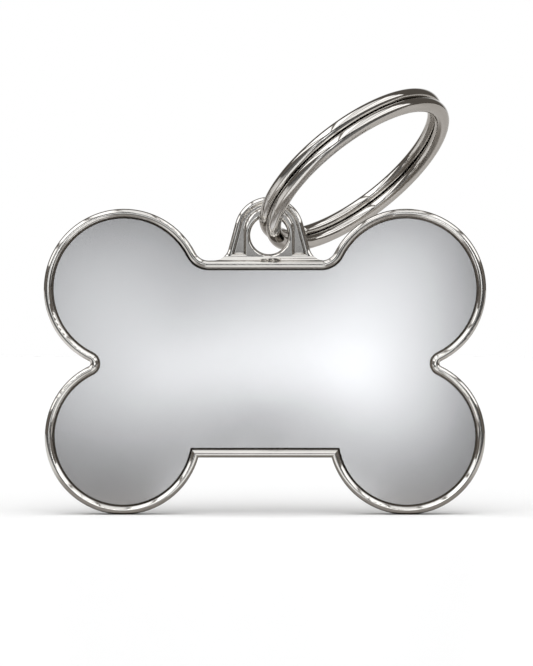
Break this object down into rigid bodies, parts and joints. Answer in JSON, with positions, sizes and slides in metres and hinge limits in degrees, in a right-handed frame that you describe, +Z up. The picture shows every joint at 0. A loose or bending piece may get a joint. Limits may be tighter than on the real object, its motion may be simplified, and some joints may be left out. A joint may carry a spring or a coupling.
{
  "type": "pet id tag",
  "caption": "Bone-shaped metal pet id tag: cast tray with a rounded polished rim and a loop, a bonded satin face plate, and a split ring that swings in the loop to hang it on a collar.",
  "frame": {"origin": "on the surface that the two lower lobes stand on, under the middle of the tag's length and thickness", "axes": "+X along the bone to the right seen from the front, +Y from the face plate to the back, +Z up towards the loop"},
  "size_m": [0.0406, 0.0196, 0.0389],
  "materials": {
    "polished_nickel": "polished nickel plate on a zinc casting, mirror bright on the rim and the loop",
    "adhesive": "thin milky bonding film, not seen",
    "satin_plate": "fine satin, left bare",
    "ring_wire": "bright nickel-plated spring wire"
  },
  "bodies": {
    "tag": {"tag_frame": "polished_nickel", "bonding_film": "adhesive", "face_plate": "satin_plate"},
    "ring": {"split_ring": "ring_wire"}
  },
  "joints": [
    {"name": "ring_swing", "type": "hinge", "parent": "tag", "child": "ring", "pos_m": [0.00038, 0, 0.02564], "axis": [0, -1, 0], "range_deg": [-35, 135]}
  ]
}
